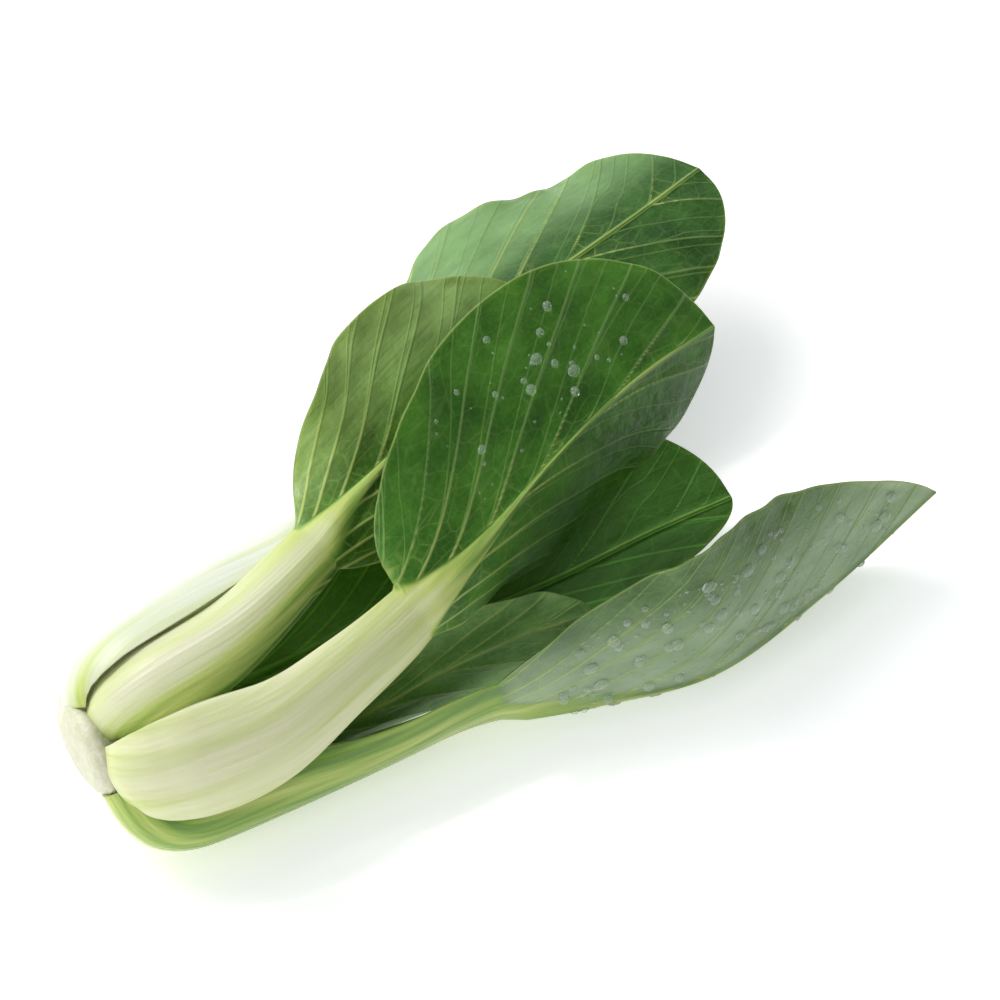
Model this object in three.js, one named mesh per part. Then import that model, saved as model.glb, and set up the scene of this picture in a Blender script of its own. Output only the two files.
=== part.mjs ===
// A baby bok choy lying on its side: eight fleshy leaves and a bud round a short cut stem.
// Millimetres. X runs along the head from the cut stem to the leaf tips, -Y is the near
// side, +Z is up. The head lies on z = 0, and the origin is on that plane, under the
// middle of the whole head.
import * as THREE from "three";

// Driving dimensions of the head. The leaves and the stem are drawn from the middle of the
// bulb, which lies this far from the middle of the whole head.
const MIDDLE_X = 93;
const MIDDLE_Y = 15;
const AXIS_HEIGHT = 32;
const CUT_X = -26.4;
const CUT_RADIUS = 8;
const COLLAR_RADIUS = 10.8;
const CORE_TIP_X = -14;

// Skin and blade
const BLADE_THICKNESS = 0.9;
const LEAST_HALF_WIDTH = 0.6;
const RIB_PROUD = 0.3;
const RIB_SPREAD = 0.8;
const RIB_TAPER = 4.5;
const LEAST_RIB = 1.2;
const INNER_TURN = 1.6;
const BEND_STEPS = 10;

// How finely a leaf is divided across and along
const OUTER_GRID = [12, 26];
const INNER_GRID = [10, 20];
const BUD_GRID = [8, 12];
const CROWD_TO_MIDRIB = 1.35;
const CROWD_TO_ENDS = 0.5;

// Half-width of every stalk from its foot to the blade, as a share of its greatest
const STALK_SHAPE = [[0, 0.42], [0.1, 0.68], [0.24, 0.93], [0.4, 1], [0.65, 0.8], [1, 0.6]];

// The same where the foot wraps further round the stem
const WIDE_FOOT = [[0, 0.57], [0.1, 0.84], [0.24, 1], [0.4, 1], [0.65, 0.8], [1, 0.6]];

// How far the outer skin looks back toward the cut, in degrees, along the leaf
const LEAN = [[0, 50], [0.06, 25], [0.12, 0], [1, 0]];

const FLAT = [[0, 0], [1, 0]];

// Thickness along the midline: thin at the foot, fleshy in the bulb, thin at the tip
function fleshy(foot, bulge, neck, middle, tip, bladeStart) {
  const middleAt = bladeStart + (1 - bladeStart) * 0.4;
  return [
    [0, foot],
    [0.06, bulge * 0.8],
    [0.16, bulge],
    [bladeStart, neck],
    [middleAt, middle],
    [1, tip],
  ];
}

// Each leaf: its midline on the outer skin, which way that skin faces (0 up, 90 toward
// the near side, 180 down), where the stalk ends and the blade starts, as a share of the
// length, and each side of the midrib as seen from outside with the tip up. Angles are in
// degrees: fold is the bend at the midrib, cup and curl bend the side on toward its edge.
const LEAVES = [
  {
    name: "leaf_front",
    grid: OUTER_GRID,
    color: "#5f8f4a",
    spine: [
      [-24, -12, 35], [-22.6, -15.6, 36.9], [-19.6, -19, 38.5], [-14.5, -22.3, 40], [-5, -26, 41.9],
      [14, -29.5, 44], [34, -28, 48], [52, -25, 51], [75, -20, 56],
      [105, -10, 61], [137, -1, 62], [168, 6, 57],
    ],
    facing: [[0, 64], [0.3, 54], [0.45, 48], [0.7, 45], [1, 40]],
    blade: 0.43,
    thickness: fleshy(1.6, 6.5, 5, 2.4, 1, 0.43),
    left: {
      stalk: 13.5, shape: WIDE_FOOT, width: 41, belly: 0.98, base: 0.36, tip: 0.52,
      cup: [[0, 34], [0.15, 36], [0.3, 45], [0.42, 35], [0.5, 0], [0.8, -5], [1, 0]],
      curl: [[0, 0], [0.5, 0], [0.7, 15], [1, 10]],
      waves: [[1.2, 5.3, 0.1]],
    },
    right: {
      stalk: 17, shape: WIDE_FOOT, width: 33, belly: 1.15, base: 0.5, tip: 0.55,
      fold: [[0, 0], [0.4, 0], [0.5, 15], [0.8, 25], [1, 20]],
      cup: [[0, 26], [0.15, 38], [0.3, 50], [0.42, 50], [0.5, 45], [0.8, 35], [1, 20]],
      waves: [[1.3, 4.3, 0.4]],
    },
  },
  {
    name: "leaf_middle",
    grid: OUTER_GRID,
    color: "#6d9a4d",
    spine: [
      [-22.2, -1, 42], [-19.8, -2, 46.5], [-15, -3, 50.5], [-4, -4, 54.5], [18, -4.5, 57.5],
      [42, 1, 60], [62, 10, 59], [90, 22, 58], [116, 32, 57], [138, 42, 54],
    ],
    facing: [[0, 8], [0.2, 10], [0.36, 14], [1, 15]],
    blade: 0.42,
    thickness: fleshy(1.6, 6.5, 5, 2.4, 1, 0.42),
    left: {
      stalk: 12.5, shape: WIDE_FOOT, width: 30, belly: 1.15, base: 0.6, tip: 0.5,
      fold: [[0, 0], [0.42, 0], [0.6, -15], [1, -10]],
      cup: [[0, 60], [0.25, 60], [0.42, 30], [0.6, -10], [1, 0]],
      waves: [[1.5, 5.1, 0.2]],
    },
    right: {
      stalk: 15, width: 25, belly: 1, base: 0.5, tip: 0.6,
      fold: [[0, 0], [0.5, 10], [1, 0]],
      cup: [[0, 50], [0.3, 55], [0.42, 50], [0.6, 30], [1, 0]],
    },
  },
  {
    name: "leaf_top",
    grid: OUTER_GRID,
    color: "#5b9148",
    spine: [
      [-24.3, 8.3, 40], [-22.9, 11.2, 43], [-20, 13.8, 45.6], [-14.5, 16, 47.9], [-4, 17.8, 49.8],
      [20, 18.8, 50.8], [46, 18.5, 51.3], [80, 29, 52], [116, 42, 51],
      [150, 51.5, 49], [182, 59, 46], [212, 68, 41],
    ],
    facing: [[0, -45], [0.4, -35], [0.6, -5], [1, 5]],
    blade: 0.42,
    thickness: fleshy(1.6, 6.5, 5, 2.4, 1, 0.42),
    left: {
      stalk: 14, width: 36, belly: 0.98, base: 0.5, tip: 0.42,
      cup: [[0, 50], [0.3, 55], [0.42, 40], [0.6, 30], [1, 10]],
      waves: [[1.8, 4.2, 0]],
      scallops: [[3.4, 4.2, 0.24]],
    },
    right: {
      stalk: 15, shape: WIDE_FOOT, width: 33, belly: 1.05, base: 0.5, tip: 0.42,
      cup: [[0, 50], [0.3, 50], [0.42, 60], [0.6, 75], [0.8, 40], [1, 15]],
      waves: [[1.4, 4.6, 0.3]],
    },
  },
  {
    name: "leaf_floor",
    grid: OUTER_GRID,
    color: "#5d8657",
    spine: [
      [-25.1, -8.8, 23.8], [-24.5, -13.6, 19.3], [-22.6, -18, 15.2], [-19, -21.6, 11.8],
      [-13, -24.4, 9.3], [-4, -26, 7.7], [16, -27.3, 5.8], [46, -29.5, 5], [69, -33.5, 6.5], [94, -45.5, 8.5],
      [124, -56, 10], [159, -55, 15], [199, -51, 25],
    ],
    facing: [[0, 130], [0.2, 128], [0.32, 132], [0.42, 120], [0.55, 90], [0.7, 80], [0.85, 75], [1, 70]],
    blade: 0.46,
    thickness: fleshy(1.6, 6, 4.6, 2.4, 1, 0.46),
    left: {
      stalk: 21.4, width: 41, belly: 1, base: 0.62, tip: 0.75,
      cup: [[0, 70], [0.06, 92], [0.14, 96], [0.22, 88], [0.34, 65], [0.46, 40], [0.6, 10], [1, 5]],
      waves: [[1, 4.1, 0.3]],
    },
    right: {
      stalk: 16, width: 26, belly: 1.3, base: 0.6, tip: 0.75,
      fold: [[0, 0], [0.4, 0], [0.55, 45], [1, 45]],
      cup: [[0, 50], [0.3, 60], [0.44, 50], [0.6, 48], [1, 30]],
    },
  },
  {
    name: "leaf_under",
    grid: OUTER_GRID,
    color: "#4e8440",
    spine: [
      [-24.6, 2.6, 20], [-23.1, 4.5, 13.5], [-20, 5.8, 8.2], [-14.5, 6.6, 4], [-6, 7, 1], [20, 5.5, -0.3],
      [50, 1, 3], [80, -5, 9], [108, -11, 14], [136, -13, 15], [160, -15.5, 15],
    ],
    facing: [[0, 192], [0.4, 195], [0.7, 205], [1, 205]],
    blade: 0.42,
    thickness: fleshy(1.6, 6.5, 5, 2.4, 1, 0.42),
    left: {
      stalk: 16, width: 14, belly: 1.45, base: 0.6, tip: 0.5,
      cup: [[0, 50], [0.42, 40], [0.6, 35], [1, 10]],
    },
    right: {
      stalk: 16, width: 36, belly: 1.1, base: 0.5, tip: 0.45,
      cup: [[0, 50], [0.42, 40], [0.6, 20], [1, 10]],
      waves: [[1.2, 5, 0.1]],
    },
  },
  {
    name: "leaf_back",
    grid: OUTER_GRID,
    color: "#4e8440",
    spine: [
      [-24, 12, 29.5], [-22.6, 16, 29], [-19.4, 19.6, 28.3], [-13.5, 22.8, 27.4], [-4, 25.5, 26], [18, 28, 24],
      [44, 32, 21], [72, 37.5, 20], [100, 46, 21], [130, 55, 22], [156, 63, 23],
    ],
    facing: [[0, -104], [0.4, -102], [0.7, -104], [1, -98]],
    blade: 0.42,
    thickness: fleshy(1.6, 6.5, 5, 2.4, 1, 0.42),
    left: {
      stalk: 15, width: 25, belly: 1, base: 0.5, tip: 0.6,
      cup: [[0, 50], [0.42, 40], [0.6, 20], [1, 10]],
    },
    right: {
      stalk: 11.5, width: 14, belly: 1, base: 0.5, tip: 0.6,
      cup: [[0, 50], [0.42, 40], [0.6, 20], [1, 10]],
    },
  },
  {
    name: "leaf_inner",
    grid: INNER_GRID,
    color: "#3f7a3a",
    spine: [
      [-20.4, -9, 28], [-10, -13.5, 21], [8, -15, 18], [28, -17, 16.5], [46, -19, 15.5],
      [64, -20.5, 17.5], [83, -23.5, 19.5], [104, -29.5, 22],
    ],
    facing: [[0, 104], [0.4, 100], [0.7, 86], [1, 80]],
    blade: 0.42,
    thickness: fleshy(1.4, 4.5, 3.5, 1.8, 0.9, 0.42),
    left: {
      stalk: 11.5, width: 16, belly: 1, base: 0.5, tip: 0.5,
      cup: [[0, 50], [0.3, 40], [0.42, 20], [0.6, 10], [1, 10]],
      waves: [[0.9, 5, 0.1]],
    },
    right: {
      stalk: 16.7, width: 21, belly: 0.85, base: 0.5, tip: 0.6,
      cup: [[0, 50], [0.3, 25], [0.42, 10], [0.6, 20], [1, 20]],
    },
  },
  {
    name: "leaf_heart",
    grid: INNER_GRID,
    color: "#47803a",
    spine: [
      [-19.8, 5.2, 25.2], [-10, 7, 21], [8, 6, 19], [28, 4, 19], [50, 2, 21], [72, 3, 25],
      [92, 5, 30],
    ],
    facing: [[0, 210], [0.4, 205], [0.7, 205], [1, 200]],
    blade: 0.25,
    thickness: fleshy(1.4, 4.5, 3, 1.6, 0.9, 0.25),
    left: {
      stalk: 10, width: 17, belly: 0.9, base: 0.6, tip: 0.6,
      cup: [[0, 50], [0.42, 40], [0.6, 30], [1, 10]],
      waves: [[0.8, 5, 0.1]],
    },
    right: {
      stalk: 10, width: 20, belly: 0.9, base: 0.6, tip: 0.6,
      cup: [[0, 50], [0.42, 40], [0.6, 30], [1, 10]],
      waves: [[0.8, 5, 0.5]],
    },
  },
  {
    name: "leaf_bud",
    grid: BUD_GRID,
    color: "#b9cf7a",
    spine: [[-12, 0, 33], [-5, 1, 34], [5, 1.5, 34.5], [16, 1, 35]],
    facing: [[0, -10], [1, 0]],
    blade: 0.4,
    thickness: fleshy(1.4, 2.4, 2, 1.2, 0.9, 0.4),
    left: {
      stalk: 3.5, width: 5, belly: 1, base: 0.5, tip: 0.6,
      cup: [[0, 50], [1, 20]],
    },
    right: {
      stalk: 3.5, width: 5, belly: 1, base: 0.5, tip: 0.6,
      cup: [[0, 50], [1, 20]],
    },
  },
];

function clamp(value, low, high) {
  return Math.min(Math.max(value, low), high);
}

function radians(degrees) {
  return (degrees * Math.PI) / 180;
}

// A smooth curve through [position, value] knots
function profile(knots, at) {
  const last = knots.length - 1;
  const v = clamp(at, knots[0][0], knots[last][0]);
  let i = 0;
  while (i < last - 1 && v >= knots[i + 1][0]) i++;
  const slope = (a, b) => (knots[b][1] - knots[a][1]) / (knots[b][0] - knots[a][0]);
  const startSlope = slope(Math.max(i - 1, 0), i + 1);
  const endSlope = slope(i, Math.min(i + 2, last));
  const h = knots[i + 1][0] - knots[i][0];
  const t = (v - knots[i][0]) / h;
  return (
    (1 + 2 * t) * (1 - t) ** 2 * knots[i][1] +
    t * (1 - t) ** 2 * h * startSlope +
    t * t * (3 - 2 * t) * knots[i + 1][1] +
    t * t * (t - 1) * h * endSlope
  );
}

function stalkWidth(greatest, shape, leaf, v) {
  return greatest * profile(shape, Math.min(v / leaf.blade, 1));
}

// Distance from the midline to the edge on one side, measured over the skin
function halfWidth(leaf, side, v) {
  const along = clamp((v - leaf.blade) / (1 - leaf.blade), 0, 1);
  const stalk = stalkWidth(side.stalk, side.shape ?? STALK_SHAPE, leaf, v) * (1 - along);
  const power = side.base + (side.tip - side.base) * along;
  let blade = side.width * Math.max(Math.sin(Math.PI * along ** side.belly), 0) ** power;
  for (const [depth, number, shift] of side.scallops ?? []) {
    const share = Math.min(blade / side.width, 1);
    blade += depth * Math.sin(2 * Math.PI * (number * v + shift)) * share;
  }
  return Math.max(Math.hypot(stalk, blade), LEAST_HALF_WIDTH);
}

// Waves across the skin that grow toward the edge of the blade
function waveHeight(leaf, side, v, across) {
  const rise = clamp((v - leaf.blade) / 0.08, 0, 1);
  const onBlade = rise * rise * (3 - 2 * rise);
  let height = 0;
  for (const [depth, number, shift] of side.waves ?? []) {
    height += depth * Math.sin(2 * Math.PI * (number * v + shift));
  }
  return height * across ** 2 * onBlade * clamp((1 - v) / 0.08, 0, 1);
}

// The leaf's own directions at a place on its midline: along, outward and to the right
function directions(leaf, curve, v) {
  const along = curve.getPointAt(Math.min(v + 1e-3, 1));
  along.sub(curve.getPointAt(Math.max(v - 1e-3, 0))).normalize();
  const face = radians(profile(leaf.facing, v));
  const lean = radians(profile(LEAN, v));
  const outward = new THREE.Vector3(
    -Math.sin(lean),
    -Math.sin(face) * Math.cos(lean),
    Math.cos(face) * Math.cos(lean),
  );
  outward.addScaledVector(along, -outward.dot(along)).normalize();
  const right = new THREE.Vector3().crossVectors(along, outward);
  return { outward, right };
}

// The outer and the inner point of the leaf at u across (-1 to 1) and v along (0 to 1)
function skinPoints(leaf, curve, u, v) {
  const { outward, right } = directions(leaf, curve, v);
  const side = u < 0 ? leaf.left : leaf.right;
  const sign = u < 0 ? -1 : 1;
  const across = Math.abs(u);
  const width = halfWidth(leaf, side, v);
  const fold = radians(profile(side.fold ?? FLAT, v));
  const cup = radians(profile(side.cup, v));
  const curl = radians(profile(side.curl ?? FLAT, v));
  const bendAt = (r) => fold + cup * r + curl * r ** 3;
  let sideways = 0;
  let inward = 0;
  for (let step = 0; step < BEND_STEPS; step++) {
    const bend = bendAt((across * (step + 0.5)) / BEND_STEPS);
    sideways += (Math.cos(bend) * width * across) / BEND_STEPS;
    inward += (Math.sin(bend) * width * across) / BEND_STEPS;
  }
  const turned = (angle) =>
    outward.clone().multiplyScalar(Math.cos(angle)).addScaledVector(right, sign * Math.sin(angle));

  const along = clamp((v - leaf.blade) / (1 - leaf.blade), 0, 1);
  const widest = Math.max(leaf.left.stalk, leaf.right.stalk);
  const stalk = stalkWidth(widest, STALK_SHAPE, leaf, v);
  const ribWidth = along > 0 ? Math.max(stalk * (1 - along) ** RIB_TAPER * RIB_SPREAD, LEAST_RIB) : stalk;
  const ribHeight = profile(leaf.thickness, v);
  const fromRib = (width * across) / ribWidth;
  const crest = clamp(1 - fromRib ** 2, 0, 1);
  const wave = waveHeight(leaf, side, v, across);
  const proud = RIB_PROUD * ribHeight * crest ** 1.5 * clamp(along / 0.05, 0, 1);
  const depth = BLADE_THICKNESS + (ribHeight - BLADE_THICKNESS) * crest ** 0.8;

  // The depth direction turns more slowly than the skin, so the inner skin never crosses
  // itself behind a folded midrib.
  const bend = bendAt(across);
  const normal = turned(bend);
  const inset = turned(bend * clamp(fromRib / INNER_TURN, 0, 1));
  const skin = curve.getPointAt(v);
  skin.addScaledVector(right, sign * sideways).addScaledVector(outward, -inward);
  skin.addScaledVector(normal, wave);
  const outer = skin.clone().addScaledVector(inset, proud);
  const inner = skin.clone().addScaledVector(inset, -depth);
  const lift = Math.max(0, -Math.min(outer.z, inner.z));
  outer.z += lift;
  inner.z += lift;
  return { outer, inner };
}

// A leaf as one closed body: the outer skin, the inner skin and the rim between them
function leafGeometry(leaf) {
  const points = leaf.spine.map((p) => new THREE.Vector3(...p));
  const curve = new THREE.CatmullRomCurve3(points, false, "catmullrom", 0.5);
  curve.arcLengthDivisions = 2000;
  const [columns, rows] = leaf.grid;
  const row = columns + 1;
  const skin = row * (rows + 1);
  const positions = new Float32Array(2 * skin * 3);
  for (let i = 0; i <= rows; i++) {
    const even = i / rows;
    const v = even - (CROWD_TO_ENDS * Math.sin(2 * Math.PI * even)) / (2 * Math.PI);
    for (let j = 0; j <= columns; j++) {
      const evenly = (2 * j) / columns - 1;
      const u = Math.sign(evenly) * Math.abs(evenly) ** CROWD_TO_MIDRIB;
      const { outer, inner } = skinPoints(leaf, curve, u, v);
      outer.toArray(positions, 3 * (i * row + j));
      inner.toArray(positions, 3 * (skin + i * row + j));
    }
  }
  const faces = [];
  for (let i = 0; i < rows; i++) {
    for (let j = 0; j < columns; j++) {
      const a = i * row + j;
      const b = a + 1;
      const c = b + row;
      const d = a + row;
      faces.push(a, b, c, a, c, d);
      faces.push(skin + b, skin + a, skin + c, skin + c, skin + a, skin + d);
    }
  }
  const rim = [];
  for (let j = 0; j < columns; j++) rim.push(j);
  for (let i = 0; i < rows; i++) rim.push(i * row + columns);
  for (let j = columns; j > 0; j--) rim.push(rows * row + j);
  for (let i = rows; i > 0; i--) rim.push(i * row);
  rim.forEach((a, k) => {
    const b = rim[(k + 1) % rim.length];
    faces.push(b, a, skin + a, b, skin + a, skin + b);
  });
  const geometry = new THREE.BufferGeometry();
  geometry.setAttribute("position", new THREE.BufferAttribute(positions, 3));
  geometry.setIndex(faces);
  geometry.computeVertexNormals();
  return geometry;
}

// The stem: a cut face, a low collar under the leaf bases, and the core that holds them
function stemGeometry() {
  const outline = [
    [0, CUT_X],
    [CUT_RADIUS, CUT_X],
    [COLLAR_RADIUS, CUT_X + 0.5],
    [COLLAR_RADIUS - 0.4, CUT_X + 0.85],
    [9, CUT_X + 1.15],
    [6.6, CUT_X + 4.2],
    [5.5, CUT_X + 6.6],
    [3, CORE_TIP_X - 1.5],
    [0, CORE_TIP_X],
  ];
  const profilePoints = outline.map(([radius, x]) => new THREE.Vector2(radius, x));
  const geometry = new THREE.LatheGeometry(profilePoints, 28);
  geometry.rotateZ(-Math.PI / 2);
  return geometry;
}

const head = new THREE.Group();
head.position.set(-MIDDLE_X, -MIDDLE_Y, 0);

const stem = new THREE.Mesh(
  stemGeometry(),
  new THREE.MeshStandardMaterial({ color: "#dfe3c4", roughness: 0.55, metalness: 0 }),
);
stem.name = "stem_base";
stem.position.z = AXIS_HEIGHT;
head.add(stem);

for (const leaf of LEAVES) {
  const mesh = new THREE.Mesh(
    leafGeometry(leaf),
    new THREE.MeshStandardMaterial({ color: leaf.color, roughness: 0.42, metalness: 0 }),
  );
  mesh.name = leaf.name;
  head.add(mesh);
}

export default head;
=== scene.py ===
"""A baby bok choy lying on its side: fleshy stalks, ribbed and veined leaves, wet in places.

Every leaf replaces its plain solid with the same skin on a fine grid, with its veins raised,
its blade puckered between them and its edge thinned and ruffled. Lengths in the tables are
millimetres and angles are degrees; the pieces are made in metres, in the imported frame.
"""
import math

import bpy
import numpy as np
from mathutils import Matrix, Vector


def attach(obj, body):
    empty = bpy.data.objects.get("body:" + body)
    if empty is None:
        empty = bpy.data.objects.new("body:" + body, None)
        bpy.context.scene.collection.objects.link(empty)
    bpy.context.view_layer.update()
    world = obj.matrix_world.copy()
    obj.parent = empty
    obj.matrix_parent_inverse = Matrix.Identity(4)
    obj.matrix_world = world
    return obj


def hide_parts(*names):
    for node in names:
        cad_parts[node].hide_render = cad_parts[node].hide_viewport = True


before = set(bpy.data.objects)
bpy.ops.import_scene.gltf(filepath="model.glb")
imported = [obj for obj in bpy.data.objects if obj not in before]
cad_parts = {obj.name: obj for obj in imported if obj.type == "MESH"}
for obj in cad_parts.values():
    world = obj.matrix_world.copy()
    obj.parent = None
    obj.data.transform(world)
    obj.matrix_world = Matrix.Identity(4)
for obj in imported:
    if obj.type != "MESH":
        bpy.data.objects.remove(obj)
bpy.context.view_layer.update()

METRES = 0.001

# Driving dimensions of the head, as in its solids
MIDDLE = np.array([93.0, 15.0, 0.0])
AXIS_HEIGHT = 32.0
CUT_X = -26.4
CUT_RADIUS = 8.0
COLLAR_RADIUS = 10.8
CORE_TIP_X = -14.0

# The stem's collar is fuller than in the solid, to fill the space between the leaf feet
FULL_RADIUS = 12.2
STEM_AROUND = 96
STEM_RING = 0.6

# Skin and blade. The drawn blade is a little thinner than its solid, and thins to its edge.
BLADE_THICKNESS = 0.7
EDGE_THICKNESS = 0.4
EDGE_TAPER = 3.0
LEAST_HALF_WIDTH = 0.6
RIB_PROUD = 0.3
RIB_SPREAD = 0.8
RIB_TAPER = 4.5
LEAST_RIB = 1.2
RIB_GREEN = 0.93
RIB_GREENING = 0.22
INNER_TURN = 1.6
BEND_STEPS = 10
END_CROWDING = 0.5

# Veins: how they crowd where they leave the midrib and where they meet the edge
VEIN_RUN = 0.1
VEIN_BOW = 1.2
RIB_CROWDING = 2.4
EDGE_CROWDING = 0.65
LAST_MEETING = 0.985
OUTER_STRAND = 0.92
BEYOND_LAST = 9

# Relief, and the shares of the length over which the blade sets in and the tip fades
VEIN_HEIGHT = 0.17
VEIN_HALF_WIDTH = 0.9
VEIN_FADE = 4
PUCKER_DEPTH = 0.25
PUCKER_SPACING = 12.0
STRAND_HEIGHT = 0.015
RUFFLE_HEIGHT = 0.4
BLADE_FADE = 0.08
TIP_FADE = 0.08

# Columns and rows of the fine skins
FINE = (112, 300)
PLAIN = (72, 190)
SMALL = (60, 150)
BUD = (28, 56)

# Water drops, as shares across and along the leaf and radii
DROP_HEIGHT = 0.7
DROP_SINK = 0.12
DROP_ROOT = 0.14
DROP_RINGS = 6
DROP_AROUND = 18
DROPS = {
    "leaf_floor": {
        "seed": 3, "count": 260, "across": (-0.8, 0.22), "along": (0.52, 0.95), "radius": (0.4, 1.9),
    },
    "leaf_front": {
        "seed": 7, "count": 46, "across": (-0.92, -0.15), "along": (0.58, 0.9), "radius": (0.35, 1.6),
    },
}

# Surface, in millimetres, and light and camera, in metres
FLOOR_HALF = 4000
FLOOR_GLOW = 0.43
WINDOW = (-0.35, 0.7, 0.62)
ROOM_FADE = (-0.3, 0.9)
ROOM_DARK = 0.12
ROOM_LIGHT = 0.85
ROOM_COLOUR = (0.93, 0.98, 1.0, 1)
SUN_DIRECTION = (-0.26, 0.67, 0.9)
SUN_SPREAD = 30
SUN_STRENGTH = 1.05
SUN_COLOUR = (1.0, 0.99, 0.95)
AREA_LIGHTS = {
    "glint": {"place": (-0.25, 0.45, 0.7), "aim": (0, 0, 0.03), "size": 0.08, "power": 1.8},
    "fill": {"place": (-0.9, -0.3, 0.5), "aim": (-0.05, 0, 0.03), "size": 0.6, "power": 2.2},
}
EYE = (-0.2538, -0.3824, 0.5766)
TARGET = (0.0023, -0.0167, 0.0447)
LENS = 100
SENSOR = 36

# Stalk half-width from the foot to the blade, how far the foot leans back, and no bend
STALK_SHAPE = [(0, 0.42), (0.1, 0.68), (0.24, 0.93), (0.4, 1), (0.65, 0.8), (1, 0.6)]
WIDE_FOOT = [(0, 0.57), (0.1, 0.84), (0.24, 1), (0.4, 1), (0.65, 0.8), (1, 0.6)]
FULL_NECK = [(0, 0.42), (0.1, 0.68), (0.24, 0.93), (0.4, 1), (0.65, 0.92), (1, 0.78)]
LEAN = [(0, 50), (0.06, 25), (0.12, 0), (1, 0)]
FLAT = [(0, 0), (1, 0)]


def fleshy(foot, bulge, neck, middle, tip, blade_start):
    """Thickness along the midline: thin at the foot, fleshy in the bulb, thin at the tip."""
    middle_at = blade_start + (1 - blade_start) * 0.4
    return [
        (0, foot), (0.06, bulge * 0.8), (0.16, bulge), (blade_start, neck), (middle_at, middle), (1, tip),
    ]


def fan(first, last, count):
    """Veins crowded at the foot of the blade: where each leaves the midrib and meets the edge."""
    t = np.linspace(0, 1, count)
    leaves = first + (last - first) * t**RIB_CROWDING
    meets = first + VEIN_RUN + (LAST_MEETING - first - VEIN_RUN) * t**EDGE_CROWDING
    return list(zip(leaves, meets))


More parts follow.
